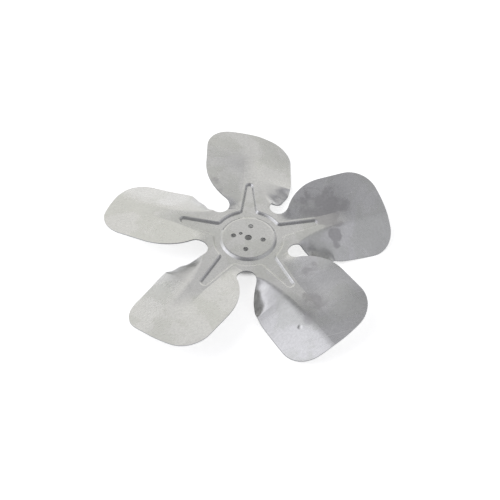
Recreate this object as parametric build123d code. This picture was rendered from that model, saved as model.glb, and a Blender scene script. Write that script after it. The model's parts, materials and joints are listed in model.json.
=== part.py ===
from build123d import *
import math
import os

os.makedirs("parts", exist_ok=True)

# ---- driving sizes, millimetres and degrees ----

blade_count = 5
tip_diameter = 250.0
sheet_thickness = 1.2

# hub disc, its holes and the round step
disc_diameter = 44.4
step_foot_diameter = 48.8
centre_bore_diameter = 6.0
screw_circle_diameter = 25.5
screw_hole_diameter = 4.4
screw_hole_count = 4
screw_hole_turn = -26.7
locating_hole_diameter = 3.2
locating_hole_radius = 7.8
locating_hole_turn = 128.0

# pressed five-armed star
root_level = 0.4
star_depth = 1.9
star_wall_draft = 42.0
step_rim_radius = 3.0
outer_bend_radius = 1.6
back_chamfer = 0.7
star_ring_radius = 30.3
arm_half_width_root = 7.2
arm_half_width_tip = 3.5
arm_tip_radius = 62.6
arm_corner_radius = 3.0

# blade outline, seen along the axis
notch_radius = 8.2
notch_centre_radius = 43.9
notch_lag = 0.8
lead_half_width = 39.4
trail_half_width = 37.9
shoulder_radius = 43.0
lead_corner_radius = 24.0
trail_corner_radius = 22.0

# blade form
seam_apothem = 31.5
flat_end = 66.0
flat_half_root = 9.0
flat_half_end = 5.2
lead_slope = 0.285
lead_bend_width = 3.0
tip_slope = 0.25
crown = 0.45
trail_slope = 0.44
trail_relief = 0.07
root_curl = 0.6
root_curl_length = 14.0
fold_half_width = 8.5
fold_spread = 10.0
fold_root_x = 41.0
fold_fade = 16.0
fold_width_root = 4.0
fold_width_tip = 5.6
lip_slope = 0.45
lip_start = 23.2
lip_sweep = 13.5
lip_width = 4.0
extent_root = 30.0
extent_tip = 42.0

# where along the blade each form begins, and over what length it grows
lead_onset = 12.0
lead_ease_x = 60.0
lead_ease_length = 40.0
twist_length = 38.0
fold_widen_x = 50.0
fold_widen_length = 45.0
relief_x = 62.0
relief_length = 10.0
root_curl_x = 40.0
lip_onset = 8.0
lip_fade_x = 58.0
lip_fade_length = 10.0
lip_sweep_x = 46.0
lip_sweep_length = 35.0
lip_sweep_power = 2.2
extent_x = 33.0
extent_length = 34.0
arm_inner_x = 18.0
arm_taper_x = 60.0

# how finely the sections are drawn
trail_point_count = 9
lead_point_count = 5
near_span_count = 10
far_span_count = 6
slope_step = 0.05

# working solids, larger than the sheet they cut
block_radius = 90.0
block_edge_reach = 80.0
cut_depth = 20.0
cut_floor = -12.0
trim_height = 80.0
tip_overrun = 3.0
zone_inset = 0.4
zone_end_gap = 1.5
zone_overlap = 4.0

sector_angle = 360.0 / blade_count
tip_radius = tip_diameter / 2


# ---- small helpers ----

def polar(radius, angle):
    return (radius * math.cos(math.radians(angle)), radius * math.sin(math.radians(angle)))


def turned(shape, index):
    return Rot(0, 0, index * sector_angle) * shape


def blend(value):
    t = min(1.0, max(0.0, value))
    return t * t * (3 - 2 * t)


def ramp(distance, width):
    if distance <= 0:
        return 0.0
    if distance < width:
        return distance * distance / (2 * width)
    return distance - width / 2


def swept(centre, radius, start, end):
    return CenterArc(centre, radius, start, end - start)


def angle_to(centre, point):
    return math.degrees(math.atan2(point[1] - centre[1], point[0] - centre[0]))


# ---- plan outline of the blank ----

def shoulder_circle(notch, half_width, side):
    centre_y = side * (half_width - shoulder_radius)
    reach = shoulder_radius + notch_radius
    centre_x = notch[0] + math.sqrt(reach ** 2 - (centre_y - notch[1]) ** 2)
    return (centre_x, centre_y)


def corner_circle(half_width, radius, side):
    centre_y = side * (half_width - radius)
    centre_x = math.sqrt((tip_radius - radius) ** 2 - centre_y ** 2)
    return (centre_x, centre_y)


def blade_edges():
    half = sector_angle / 2
    trail_notch = polar(notch_centre_radius, -half - notch_lag)
    lead_notch = polar(notch_centre_radius, half - notch_lag)
    trail_shoulder = shoulder_circle(trail_notch, trail_half_width, -1)
    lead_shoulder = shoulder_circle(lead_notch, lead_half_width, 1)
    trail_corner = corner_circle(trail_half_width, trail_corner_radius, -1)
    lead_corner = corner_circle(lead_half_width, lead_corner_radius, 1)
    trail_meet = angle_to(trail_notch, trail_shoulder)
    lead_meet = angle_to(lead_notch, lead_shoulder)
    edges = [
        swept(trail_shoulder, shoulder_radius, 180 + trail_meet, 270),
        Line((trail_shoulder[0], -trail_half_width), (trail_corner[0], -trail_half_width)),
        swept(trail_corner, trail_corner_radius, -90, angle_to((0, 0), trail_corner)),
        swept((0, 0), tip_radius, angle_to((0, 0), trail_corner), angle_to((0, 0), lead_corner)),
        swept(lead_corner, lead_corner_radius, angle_to((0, 0), lead_corner), 90),
        Line((lead_corner[0], lead_half_width), (lead_shoulder[0], lead_half_width)),
        swept(lead_shoulder, shoulder_radius, 90, 180 + lead_meet),
        swept(lead_notch, notch_radius, lead_meet, trail_meet - 360 + sector_angle),
    ]
    return edges


def blank_outline():
    edges = []
    for index in range(blade_count):
        for edge in blade_edges():
            edges.append(turned(edge, index))
    return make_face(edges)


# ---- formed sheet surface, as a height over the plan ----

def fold_line(x):
    return fold_half_width + fold_spread * math.exp((fold_root_x - x) / fold_fade)


def fold_width(x):
    return fold_width_root + (fold_width_tip - fold_width_root) * blend((x - fold_widen_x) / fold_widen_length)


def fold_slope(x):
    relief = trail_relief * math.exp(-((x - relief_x) / relief_length) ** 2)
    return trail_slope - relief + root_curl * (1 - blend((x - root_curl_x) / root_curl_length))


def lip_line(x):
    return lip_start + lip_sweep * max(0.0, (x - lip_sweep_x) / lip_sweep_length) ** lip_sweep_power


def lip_extra(x):
    return lip_slope * blend((x - fold_root_x) / lip_onset) * (1 - blend((x - lip_fade_x) / lip_fade_length))


def flat_half(x):
    share = min(1.0, (x - seam_apothem) / (flat_end - seam_apothem))
    return flat_half_root + (flat_half_end - flat_half_root) * share


def outward(x):
    return blend((x - flat_end) / twist_length)


def rise_slope(x):
    slope = lead_slope + (tip_slope - lead_slope) * blend((x - lead_ease_x) / lead_ease_length)
    return slope * blend((x - seam_apothem) / lead_onset)


def sheet_height(x, y):
    twist = tip_slope * outward(x)
    height = root_level + crown * outward(x) + twist * y
    if y > 0:
        return height + (rise_slope(x) - twist) * ramp(y - flat_half(x), lead_bend_width)
    fold_from = fold_line(x) - fold_width(x) / 2
    lip_from = lip_line(x) - lip_width / 2
    height -= (fold_slope(x) - twist) * ramp(-y - fold_from, fold_width(x))
    return height - lip_extra(x) * ramp(-y - lip_from, lip_width)


def under_height(x, y):
    back = min(slope_step, x - seam_apothem)
    along = (sheet_height(x + slope_step, y) - sheet_height(x - back, y)) / (slope_step + back)
    across = (sheet_height(x, y + slope_step) - sheet_height(x, y - slope_step)) / (2 * slope_step)
    if fold_width(x) / 2 - fold_line(x) <= y <= flat_half(x) and x <= flat_end:
        along = 0.0
        across = 0.0
    return sheet_height(x, y) - sheet_thickness * math.sqrt(1 + along ** 2 + across ** 2)


def half_extent(x):
    return extent_root + (extent_tip - extent_root) * blend((x - extent_x) / extent_length)


def even_curve(x, start, end, count, height):
    shares = [index / (count - 1) for index in range(count)]
    places = [start * (1 - share) + end * share for share in shares]
    return Edge.make_spline([(x, y, height(x, y)) for y in places], parameters=shares)


def section(x):
    trail = -half_extent(x)
    fold = fold_width(x) / 2 - fold_line(x)
    bend = flat_half(x)
    lead = half_extent(x)
    edges = []
    for height in (sheet_height, under_height):
        edges.append(even_curve(x, trail, fold, trail_point_count, height))
        edges.append(Line((x, fold, height(x, fold)), (x, bend, height(x, bend))))
        edges.append(even_curve(x, bend, lead, lead_point_count, height))
    for y in (trail, lead):
        edges.append(Line((x, y, sheet_height(x, y)), (x, y, under_height(x, y))))
    return make_face(edges)


def even_sections(start, end, spans):
    return [section(start + (end - start) * index / spans) for index in range(spans + 1)]


def formed_blade(outline):
    trim = Pos(0, 0, -trim_height / 2) * extrude(outline, amount=trim_height)
    near = loft(even_sections(seam_apothem, flat_end, near_span_count))
    far = loft(even_sections(flat_end, tip_radius + tip_overrun, far_span_count))
    return (near & trim) + (far & trim)


# ---- pressed hub: star recess with a raised disc ----

def arm_outline():
    run = arm_taper_x - star_ring_radius
    slope = (arm_half_width_root - arm_half_width_tip) / run
    lean = math.atan(slope)
    start_half = arm_half_width_root + slope * (star_ring_radius - arm_inner_x)
    reach = start_half - slope * (arm_tip_radius - arm_inner_x)
    radius = reach * math.cos(lean) / (1 - math.sin(lean))
    centre_x = arm_tip_radius - radius
    touch = (centre_x + radius * math.sin(lean), radius * math.cos(lean))
    edges = [
        Line((arm_inner_x, -start_half), (touch[0], -touch[1])),
        ThreePointArc((touch[0], -touch[1]), (arm_tip_radius, 0), touch),
        Line(touch, (arm_inner_x, start_half)),
        Line((arm_inner_x, start_half), (arm_inner_x, -start_half)),
    ]
    return make_face(edges)


def star_outline(grow):
    star = Circle(star_ring_radius)
    for index in range(blade_count):
        star += turned(arm_outline(), index)
    corners = star.vertices().filter_by(lambda v: abs(math.hypot(v.X, v.Y) - star_ring_radius) < 0.05)
    star = fillet(corners, arm_corner_radius)
    return offset(star, amount=grow) if grow else star


def level_edges(solid, level):
    found = []
    for edge in solid.edges():
        box = edge.bounding_box()
        level_edge = abs(box.min.Z - level) < 1e-3 and abs(box.max.Z - level) < 1e-3
        if level_edge and max(box.max.X, box.max.Y) < block_edge_reach:
            found.append(edge)
    return found


def ring_edges(solid, level, radius):
    around = 2 * math.pi * radius
    return [edge for edge in level_edges(solid, level) if abs(edge.length - around) < 0.5]


def pressed_block(grow):
    floor = root_level - star_depth
    block = Pos(0, 0, root_level - cut_depth / 2) * Cylinder(block_radius, cut_depth)
    star = Pos(0, 0, root_level) * star_outline(grow)
    block -= extrude(star, amount=-star_depth, taper=star_wall_draft)
    foot = step_foot_diameter / 2 - grow
    rim = disc_diameter / 2 - grow
    return block + Pos(0, 0, floor / 2) * Cone(foot, rim, -floor)


def upper_block():
    block = pressed_block(0)
    block = fillet(level_edges(block, root_level), outer_bend_radius)
    return fillet(ring_edges(block, 0, disc_diameter / 2), step_rim_radius)


def lower_block(grow):
    floor = root_level - star_depth
    block = pressed_block(grow)
    foot = step_foot_diameter / 2 - grow
    around_disc = ring_edges(block, floor, foot)
    around_star = [edge for edge in level_edges(block, floor) if edge not in around_disc]
    block = chamfer(around_star, back_chamfer)
    block = chamfer(ring_edges(block, floor, foot), back_chamfer)
    return chamfer(ring_edges(block, 0, disc_diameter / 2 - grow), back_chamfer)


def flat_zone():
    zone = RegularPolygon(seam_apothem, blade_count, major_radius=False, rotation=sector_angle / 2)
    for index in range(blade_count):
        zone += turned(arm_zone(), index)
    return zone


def arm_zone():
    end_x = flat_end - zone_end_gap
    near = flat_half(seam_apothem) - zone_inset
    far = flat_half(end_x) - zone_inset
    start_x = seam_apothem - zone_overlap
    return make_face(Polyline((start_x, -near), (seam_apothem, -near), (end_x, -far), (end_x, far),
                              (seam_apothem, near), (start_x, near), (start_x, -near)))


def pressed_hub(outline):
    grow = sheet_thickness * math.tan(math.radians((90 - star_wall_draft) / 2))
    sheet = upper_block() - Pos(0, 0, -sheet_thickness) * lower_block(grow)
    zone = flat_zone() & outline
    return sheet & (Pos(0, 0, cut_floor) * extrude(zone, amount=cut_depth))


def hub_holes():
    holes = Cylinder(centre_bore_diameter / 2, cut_depth)
    for index in range(screw_hole_count):
        x, y = polar(screw_circle_diameter / 2, screw_hole_turn + index * 360 / screw_hole_count)
        holes += Pos(x, y, 0) * Cylinder(screw_hole_diameter / 2, cut_depth)
    x, y = polar(locating_hole_radius, locating_hole_turn)
    holes += Pos(x, y, 0) * Cylinder(locating_hole_diameter / 2, cut_depth)
    return holes


def impeller():
    outline = blank_outline()
    zone = Pos(0, 0, cut_floor) * extrude(flat_zone(), amount=cut_depth)
    blade = formed_blade(outline) - zone
    body = pressed_hub(outline) - hub_holes()
    for index in range(blade_count):
        body += turned(blade, index)
    return body


part = impeller()
part.label = "impeller"
export_step(part, "parts/impeller.step")
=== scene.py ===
import json
import math
import bpy
from mathutils import Matrix, Vector

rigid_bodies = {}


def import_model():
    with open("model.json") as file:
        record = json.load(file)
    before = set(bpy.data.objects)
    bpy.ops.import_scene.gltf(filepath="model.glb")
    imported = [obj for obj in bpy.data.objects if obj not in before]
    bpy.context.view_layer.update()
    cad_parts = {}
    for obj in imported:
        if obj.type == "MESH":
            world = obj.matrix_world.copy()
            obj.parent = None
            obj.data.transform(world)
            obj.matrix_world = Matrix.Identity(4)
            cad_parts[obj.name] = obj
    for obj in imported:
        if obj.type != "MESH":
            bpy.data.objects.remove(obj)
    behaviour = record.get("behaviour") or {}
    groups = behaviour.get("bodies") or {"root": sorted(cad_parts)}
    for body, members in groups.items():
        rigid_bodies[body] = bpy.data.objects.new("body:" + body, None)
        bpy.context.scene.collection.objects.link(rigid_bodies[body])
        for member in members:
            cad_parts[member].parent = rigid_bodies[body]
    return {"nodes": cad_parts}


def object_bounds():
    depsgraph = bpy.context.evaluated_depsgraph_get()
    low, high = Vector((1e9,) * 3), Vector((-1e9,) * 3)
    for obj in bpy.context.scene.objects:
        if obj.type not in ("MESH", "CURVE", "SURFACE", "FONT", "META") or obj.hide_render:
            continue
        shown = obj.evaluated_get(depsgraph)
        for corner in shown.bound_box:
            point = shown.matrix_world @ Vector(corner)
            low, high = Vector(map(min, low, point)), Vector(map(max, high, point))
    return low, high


for stray in list(bpy.data.objects):
    bpy.data.objects.remove(stray)
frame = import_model()
cadBox = [list(corner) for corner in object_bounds()]
scene = bpy.context.scene
mm = 0.001                         # a millimetre in the scene's metres
firstColour = 6                    # a Mix node's sockets share their names, so its colours go by number
secondColour = 7
mixedColour = 2
print("frame loaded:", ", ".join(sorted(frame["nodes"])))


def linearColour(hexValue):
    channels = [int(hexValue[i:i + 2], 16) / 255 for i in (1, 3, 5)]
    return [c / 12.92 if c <= 0.04045 else ((c + 0.055) / 1.055) ** 2.4 for c in channels] + [1.0]


# the unit vector towards a compass direction and a height above the floor, both in degrees
def heading(azimuth, elevation):
    around = math.radians(azimuth)
    above = math.radians(elevation)
    return Vector((math.cos(above) * math.cos(around), math.cos(above) * math.sin(around), math.sin(above)))


# adds a node, sets its properties, fills its inputs with values or links, and gives back one output
def addNode(tree, kind, inputs=None, output=0, **settings):
    node = tree.nodes.new(kind)
    for name, value in settings.items():
        setattr(node, name, value)
    for name, value in (inputs or {}).items():
        if isinstance(value, bpy.types.NodeSocket):
            tree.links.new(value, node.inputs[name])
        else:
            node.inputs[name].default_value = value
    return node.outputs[output] if node.outputs else None


# Rolled sheet aluminium, pressed to shape. It comes off the rolls half bright: it mirrors the room as soft
# patches, under faint rolling lines and a cloudy film with firm borders. Darker grey patches are painted
# shade.
sheetMetal = {                     # lengths in millimetres, angles in degrees where not stated
    "colour": "#F4F4F3",
    "filmColour": "#EBECE8",
    "paintedShadeColour": "#D3D2D2",
    "edgeColour": "#BDBEC0",
    "roughness": 0.20,             # what each mark adds to it is its dullness below
    "noiseLow": 0.3,               # nearly all of a noise texture lies between these two
    "noiseHigh": 0.7,

    "rollingAngle": 28.0,
    "rollingLineWidth": 1.2,       # real lines are about 0.2 mm wide, drawn coarser so that they show
    "rollingLineLength": 45.0,
    "rollingLineHeight": 0.005,
    "rollingLineDullness": 0.03,

    "cloudSize": 13.0,
    "cloudDarkest": 0.95,
    "cloudLightest": 1.02,
    "cloudDullness": 0.07,

    "filmSize": 38.0,
    "filmStart": 0.47,             # the noise level at which the film begins, and where it is whole
    "filmWhole": 0.55,
    "filmStrength": 0.8,
    "filmDullness": 0.03,

    "speckSize": 2.0,
    "speckDarkest": 0.94,
    "speckLightest": 1.04,
    "grainDepth": 0.007,

    "wavinessSize": 45.0,
    "wavinessDepth": 0.30,

    "scratchTurn": 1.9,            # radians from the rolling direction
    "scratchSpacing": 30.0,
    "scratchLength": 150.0,
    "scratchHalfWidth": 0.18,
    "scratchDepth": 0.008,
    "scratchDullness": 0.10,

    "edgeStart": 0.40,             # the upward part of the normal at which the edge begins, and is whole
    "edgeWhole": 0.15,
    "edgeDullness": 0.15,

    "bladeCount": 5,
    "stretchRadius": 57.0,         # the metal is drawn, and duller, where each blade's trailing root bends
    "stretchLag": 27.0,            # behind the blade's middle
    "stretchReach": 25.0,
    "stretchCore": 0.3,            # a core is the share of a spot's radius that is marked in full
    "stretchDullness": 0.11,

    # painted shade: darker grey patches where the blades read darker in the light, also made a little duller
    "paintedShadeCore": 0.25,
    "paintedShadeBreakUp": 1.8,          # how strongly the clouds eat into a patch of painted shade, and the sums at which it begins and is whole
    "paintedShadeStart": 1.42,           # it begins and is whole
    "paintedShadeWhole": 1.80,
    "paintedShadeDullness": 0.08,
    "paintedShadeSpots": [                   # x, y, radius, strength
        (63.0, 19.0, 28.0, 0.80),
        (82.0, 14.0, 28.0, 0.85),
        (72.0, 3.0, 24.0, 0.95),
        (73.0, -16.0, 11.0, 1.00),
        (71.0, -24.0, 7.0, 0.80),
        (-12.0, 62.0, 20.0, 0.60),
        (38.0, -49.0, 15.0, 0.70),
        (30.0, -78.0, 20.0, 0.75),
        (22.0, -90.0, 14.0, 0.70),
    ],

    "dentCore": 0.0,
    "dents": [                     # x, y, radius, depth
        (13.5, -95.5, 2.4, 0.30),
        (-61.5, -78.4, 2.0, 0.15),
        (-75.6, -33.9, 2.0, 0.15),
    ],
}


# one inside the core of a round spot, falling smoothly to none at its radius
def roundSpot(tree, plan, x, y, radius, core):
    away = addNode(tree, "ShaderNodeVectorMath", {0: plan, 1: (x, y, 0)},
                   output="Value", operation="DISTANCE")
    return addNode(tree, "ShaderNodeMapRange", {
        "Value": away, "From Min": radius, "From Max": radius * core}, interpolation_type="SMOOTHSTEP")


def rolledAluminium(look):
    material = bpy.data.materials.new("rolledAluminiumSheet")
    material.use_nodes = True
    tree = material.node_tree
    tree.nodes.clear()

    # every pattern lies flat on the sheet as seen from above, in millimetres
    place = addNode(tree, "ShaderNodeTexCoord", output="Object")
    plan = addNode(tree, "ShaderNodeVectorMath", {0: place, 1: (1 / mm, 1 / mm, 0)}, operation="MULTIPLY")
    turn = math.radians(look["rollingAngle"])
    rolled = addNode(tree, "ShaderNodeMapping", {
        "Vector": plan, "Rotation": (0, 0, turn),
        "Scale": (1 / look["rollingLineLength"], 1 / look["rollingLineWidth"], 1)})
    rubbed = addNode(tree, "ShaderNodeMapping", {
        "Vector": plan, "Rotation": (0, 0, turn + look["scratchTurn"]),
        "Scale": (1 / look["scratchLength"], 1 / look["scratchSpacing"], 1)})
    lines = addNode(tree, "ShaderNodeTexNoise", {"Vector": rolled, "Scale": 1.0, "Detail": 3.0})
    clouds = addNode(tree, "ShaderNodeTexNoise", {
        "Vector": plan, "Scale": 1 / look["cloudSize"], "Detail": 5.0, "Roughness": 0.6, "Distortion": 0.5})
    film = addNode(tree, "ShaderNodeTexNoise", {
        "Vector": plan, "Scale": 1 / look["filmSize"], "Detail": 6.0, "Roughness": 0.6, "Distortion": 0.4})
    specks = addNode(tree, "ShaderNodeTexNoise", {
        "Vector": plan, "Scale": 1 / look["speckSize"], "Detail": 2.0})
    waves = addNode(tree, "ShaderNodeTexNoise", {
        "Vector": plan, "Scale": 1 / look["wavinessSize"], "Detail": 1.0})

    # the film ends in firm borders, as a liquid does where it dried
    filmPatch = addNode(tree, "ShaderNodeMapRange", {
        "Value": film, "From Min": look["filmStart"], "From Max": look["filmWhole"]},
        interpolation_type="SMOOTHSTEP")

    # painted shade: darker grey patches, round spots that the clouds break up
    paintedShade = 0.0
    for x, y, radius, strength in look["paintedShadeSpots"]:
        spot = roundSpot(tree, plan, x, y, radius, look["paintedShadeCore"])
        patch = addNode(tree, "ShaderNodeMath", {0: spot, 1: strength}, operation="MULTIPLY")
        paintedShade = addNode(tree, "ShaderNodeMath", {0: patch, 1: paintedShade}, operation="MAXIMUM")
    broken = addNode(tree, "ShaderNodeMath", {0: clouds, 1: look["paintedShadeBreakUp"], 2: paintedShade},
                     operation="MULTIPLY_ADD")
    paintedShade = addNode(tree, "ShaderNodeMapRange", {
        "Value": broken, "From Min": look["paintedShadeStart"], "From Max": look["paintedShadeWhole"]},
        interpolation_type="SMOOTHSTEP")

    stretch = 0.0
    for index in range(look["bladeCount"]):
        bladeAngle = index * 360.0 / look["bladeCount"]
        bend = heading(bladeAngle - look["stretchLag"], 0.0) * look["stretchRadius"]
        spot = roundSpot(tree, plan, bend.x, bend.y, look["stretchReach"], look["stretchCore"])
        stretch = addNode(tree, "ShaderNodeMath", {0: spot, 1: stretch}, operation="MAXIMUM")

    # scratches follow the borders of long stretched cells
    gap = addNode(tree, "ShaderNodeTexVoronoi", {"Vector": rubbed, "Scale": 1.0}, feature="DISTANCE_TO_EDGE")
    scratch = addNode(tree, "ShaderNodeMapRange", {
        "Value": gap, "From Min": look["scratchHalfWidth"] / look["scratchSpacing"], "From Max": 0.0})

    # the sheared edge faces sideways, so its normal has next to no upward part
    facing = addNode(tree, "ShaderNodeTexCoord", output="Normal")
    upward = addNode(tree, "ShaderNodeSeparateXYZ", {0: facing}, output="Z")
    steepness = addNode(tree, "ShaderNodeMath", {0: upward}, operation="ABSOLUTE")
    edge = addNode(tree, "ShaderNodeMapRange", {
        "Value": steepness, "From Min": look["edgeStart"], "From Max": look["edgeWhole"]})

    # colour: bare metal, film, painted shade patches, a faint uneven tone, then the edge over all of them
    coat = addNode(tree, "ShaderNodeMath", {0: filmPatch, 1: look["filmStrength"]}, operation="MULTIPLY")
    colour = addNode(tree, "ShaderNodeMix", {
        0: coat, firstColour: linearColour(look["colour"]), secondColour: linearColour(look["filmColour"])},
        output=mixedColour, data_type="RGBA")
    # painted shade: the darker grey patches are mixed into the metal's colour here
    colour = addNode(tree, "ShaderNodeMix", {
        0: paintedShade, firstColour: colour, secondColour: linearColour(look["paintedShadeColour"])},
        output=mixedColour, data_type="RGBA")
    dust = addNode(tree, "ShaderNodeMapRange", {
        "Value": specks, "From Min": look["noiseLow"], "From Max": look["noiseHigh"],
        "To Min": look["speckDarkest"], "To Max": look["speckLightest"]})
    haze = addNode(tree, "ShaderNodeMapRange", {
        "Value": clouds, "From Min": look["noiseLow"], "From Max": look["noiseHigh"],
        "To Min": look["cloudDarkest"], "To Max": look["cloudLightest"]})
    tone = addNode(tree, "ShaderNodeMath", {0: dust, 1: haze}, operation="MULTIPLY")
    colour = addNode(tree, "ShaderNodeVectorMath", {0: colour, 1: tone}, operation="MULTIPLY")
    colour = addNode(tree, "ShaderNodeMix", {
        0: edge, firstColour: colour, secondColour: linearColour(look["edgeColour"])},
        output=mixedColour, data_type="RGBA")

    rough = look["roughness"]
    for mark, dullness in (
            (filmPatch, look["filmDullness"]),
            (lines, look["rollingLineDullness"]),
            (clouds, look["cloudDullness"]),
            (paintedShade, look["paintedShadeDullness"]),
            (scratch, look["scratchDullness"]),
            (edge, look["edgeDullness"]),
            (stretch, look["stretchDullness"])):
        rough = addNode(tree, "ShaderNodeMath", {0: mark, 1: dullness, 2: rough},
                        operation="MULTIPLY_ADD")

    height = 0.0
    for x, y, radius, depth in look["dents"]:
        dent = roundSpot(tree, plan, x, y, radius, look["dentCore"])
        height = addNode(tree, "ShaderNodeMath", {0: dent, 1: -depth, 2: height},
                         operation="MULTIPLY_ADD")
    for relief, rise in (
            (waves, look["wavinessDepth"]),
            (specks, look["grainDepth"]),
            (lines, look["rollingLineHeight"]),
            (scratch, -look["scratchDepth"])):
        height = addNode(tree, "ShaderNodeMath", {0: relief, 1: rise, 2: height},
                         operation="MULTIPLY_ADD")
    normal = addNode(tree, "ShaderNodeBump", {"Height": height, "Strength": 1.0, "Distance": mm})

    metal = addNode(tree, "ShaderNodeBsdfPrincipled", {
        "Base Color": colour, "Metallic": 1.0, "Roughness": rough, "Normal": normal})
    addNode(tree, "ShaderNodeOutputMaterial", {"Surface": metal})
    return material


impeller = frame["nodes"]["impeller"]
impeller.material_slots[0].material = rolledAluminium(sheetMetal)
print("sheet finished")


# Pale matt board under the lowest corners of the blades
floorLook = {                      # lengths in metres
    "colour": "#F2F2F2",
    "width": 6.0,
    "cameraGlow": 0.68,            # lifts the board to white for the camera
    "mirrorGlow": 0.45,            # what the metal mirrors of it, where nothing stands close over it
    "shade": 0.09,                 # painted shade: how near something has to stand to darken the glow that is mirrored
    "shadeSamples": 8,
    "hubShadeCore": 0.024,         # painted shadow: the board's glow fades out below the hub, which its holes show dark
    "hubShadeReach": 0.031,
}


def paleFloor(look, level):
    mesh = bpy.data.meshes.new("floor")
    half = look["width"] / 2
    corners = [(-half, -half, level), (half, -half, level), (half, half, level), (-half, half, level)]
    mesh.from_pydata(corners, [], [(0, 1, 2, 3)])
    floor = bpy.data.objects.new("floor", mesh)
    scene.collection.objects.link(floor)

    material = bpy.data.materials.new("paleMattBoard")
    material.use_nodes = True
    tree = material.node_tree
    tree.nodes.clear()
    board = addNode(tree, "ShaderNodeBsdfDiffuse", {"Color": linearColour(look["colour"])})
    inMetal = addNode(tree, "ShaderNodeLightPath", output="Is Glossy Ray")
    inGlass = addNode(tree, "ShaderNodeLightPath", output="Is Transmission Ray")
    mirrored = addNode(tree, "ShaderNodeMath", {0: inMetal, 1: inGlass}, operation="MAXIMUM")
    # painted shade: ambient occlusion darkens the glow that the metal mirrors wherever something stands
    # close over the board
    openness = addNode(tree, "ShaderNodeAmbientOcclusion", {"Distance": look["shade"]},
                       output="AO", samples=look["shadeSamples"])
    place = addNode(tree, "ShaderNodeTexCoord", output="Object")
    away = addNode(tree, "ShaderNodeVectorMath", {0: place, 1: (0, 0, level)},
                   output="Value", operation="DISTANCE")
    # painted shadow: the board's glow for the camera fades out by distance from the axis, below the hub
    glowPastHubShadow = addNode(tree, "ShaderNodeMapRange", {
        "Value": away, "From Min": look["hubShadeCore"], "From Max": look["hubShadeReach"],
        "To Max": look["cameraGlow"]}, interpolation_type="SMOOTHSTEP")
    mirrored = addNode(tree, "ShaderNodeMath", {0: mirrored, 1: openness}, operation="MULTIPLY")
    mirrored = addNode(tree, "ShaderNodeMath", {0: mirrored, 1: look["mirrorGlow"]}, operation="MULTIPLY")
    seen = addNode(tree, "ShaderNodeLightPath", output="Is Camera Ray")
    strength = addNode(tree, "ShaderNodeMath", {0: seen, 1: glowPastHubShadow, 2: mirrored}, operation="MULTIPLY_ADD")
    glow = addNode(tree, "ShaderNodeEmission", {"Strength": strength})
    both = addNode(tree, "ShaderNodeAddShader", {0: board, 1: glow})
    addNode(tree, "ShaderNodeOutputMaterial", {"Surface": both})
    mesh.materials.append(material)


paleFloor(floorLook, cadBox[0][2])
print("floor laid")


# Soft studio: pale walls of different brightness, which the metal mirrors, and a wide lamp from the left,
# which it doesn't mirror, so that the lamp only lays the shadow on the floor
studio = {                         # angles in degrees, lengths in metres, power in watts
    "ambient": 0.216,
    "ambientColour": "#F9F9FF",
    "backWallColour": "#FFFEFA",
    "walls": [                     # azimuth, elevation, full inside, none outside, added brightness
        (75.0, 10.0, 22.0, 64.0, 0.52),     # the back wall
        (159.0, 42.0, 8.0, 40.0, 0.70),
        (165.0, 8.0, 10.0, 50.0, 0.16),
        (340.0, 55.0, 5.0, 40.0, 0.28),
    ],
    "paperColour": "#FFFFFF",
    "paperBrightness": 1.0,
    "lampAzimuth": 162.0,
    "lampElevation": 50.0,
    "lampDistance": 1.3,
    "lampSize": 1.0,
    "lampPower": 3.0,
}


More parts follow.
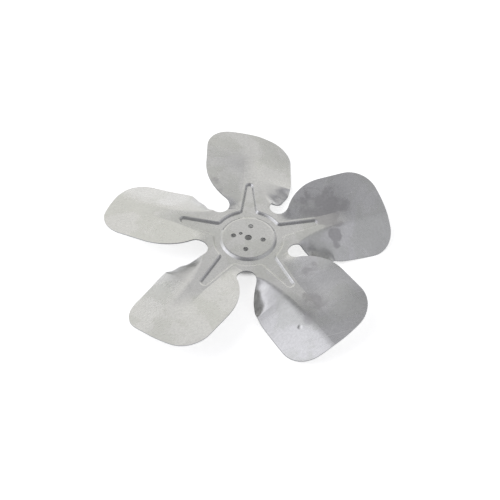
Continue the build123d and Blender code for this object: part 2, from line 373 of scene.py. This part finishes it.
def studioWorld(look):
    world = bpy.data.worlds.new("softStudio")
    world.use_nodes = True
    tree = world.node_tree
    tree.nodes.clear()
    direction = addNode(tree, "ShaderNodeTexCoord", output="Generated")
    level = look["ambient"]
    walls = []
    for azimuth, elevation, inside, outside, brightness in look["walls"]:
        towards = addNode(tree, "ShaderNodeVectorMath", {0: direction, 1: heading(azimuth, elevation)},
                          output="Value", operation="DOT_PRODUCT")
        wall = addNode(tree, "ShaderNodeMapRange", {
            "Value": towards, "From Min": math.cos(math.radians(outside)),
            "From Max": math.cos(math.radians(inside))}, interpolation_type="SMOOTHSTEP")
        walls.append(wall)
        level = addNode(tree, "ShaderNodeMath", {0: wall, 1: brightness, 2: level},
                        operation="MULTIPLY_ADD")
    backWall = walls[0]
    tint = addNode(tree, "ShaderNodeMix", {
        0: backWall, firstColour: linearColour(look["ambientColour"]),
        secondColour: linearColour(look["backWallColour"])}, output=mixedColour, data_type="RGBA")
    air = addNode(tree, "ShaderNodeBackground", {"Color": tint, "Strength": level})

    # looked at directly, past the floor's end, the room is plain white paper
    paper = addNode(tree, "ShaderNodeBackground", {
        "Color": linearColour(look["paperColour"]), "Strength": look["paperBrightness"]})
    seen = addNode(tree, "ShaderNodeLightPath", output="Is Camera Ray")
    inGlass = addNode(tree, "ShaderNodeLightPath", output="Is Transmission Ray")
    direct = addNode(tree, "ShaderNodeMath", {0: seen, 1: inGlass}, operation="MAXIMUM")
    room = addNode(tree, "ShaderNodeMixShader", {0: direct, 1: air, 2: paper})
    addNode(tree, "ShaderNodeOutputWorld", {"Surface": room})
    scene.world = world


def wideLamp(look):
    light = bpy.data.lights.new("wideLamp", "AREA")
    light.shape = "DISK"
    light.size = look["lampSize"]
    light.energy = look["lampPower"]
    lamp = bpy.data.objects.new("wideLamp", light)
    toLamp = heading(look["lampAzimuth"], look["lampElevation"])
    lamp.location = toLamp * look["lampDistance"]
    lamp.rotation_mode = "QUATERNION"
    lamp.rotation_quaternion = toLamp.to_track_quat("Z", "Y")
    lamp.visible_glossy = False
    scene.collection.objects.link(lamp)


studioWorld(studio)
wideLamp(studio)
scene.view_settings.view_transform = "Standard"
print("studio lit")


# Camera: looks down on the front of the fan
view = {                           # angles in degrees
    "azimuth": -107.96,
    "elevation": 51.27,
    "roll": 1.20,
    "distance": 0.694,             # metres
    "aim": (-2.6, -13.4, 0.0),     # millimetres
    "lens": 59.56,                 # millimetres, as is the sensor
    "sensor": 36.0,
    "nearest": 0.01,               # metres, as is the farthest
    "farthest": 20.0,
}


def placeCamera(look):
    data = bpy.data.cameras.new("camera")
    data.lens = look["lens"]
    data.sensor_width = look["sensor"]
    data.clip_start = look["nearest"]
    data.clip_end = look["farthest"]
    camera = bpy.data.objects.new("camera", data)
    scene.collection.objects.link(camera)
    back = heading(look["azimuth"], look["elevation"])
    upright = back.to_track_quat("Z", "Y")
    roll = Matrix.Rotation(math.radians(look["roll"]), 4, "Z").to_quaternion()
    camera.rotation_mode = "QUATERNION"
    camera.rotation_quaternion = upright @ roll
    camera.location = Vector(look["aim"]) * mm + back * look["distance"]
    scene.camera = camera


placeCamera(view)
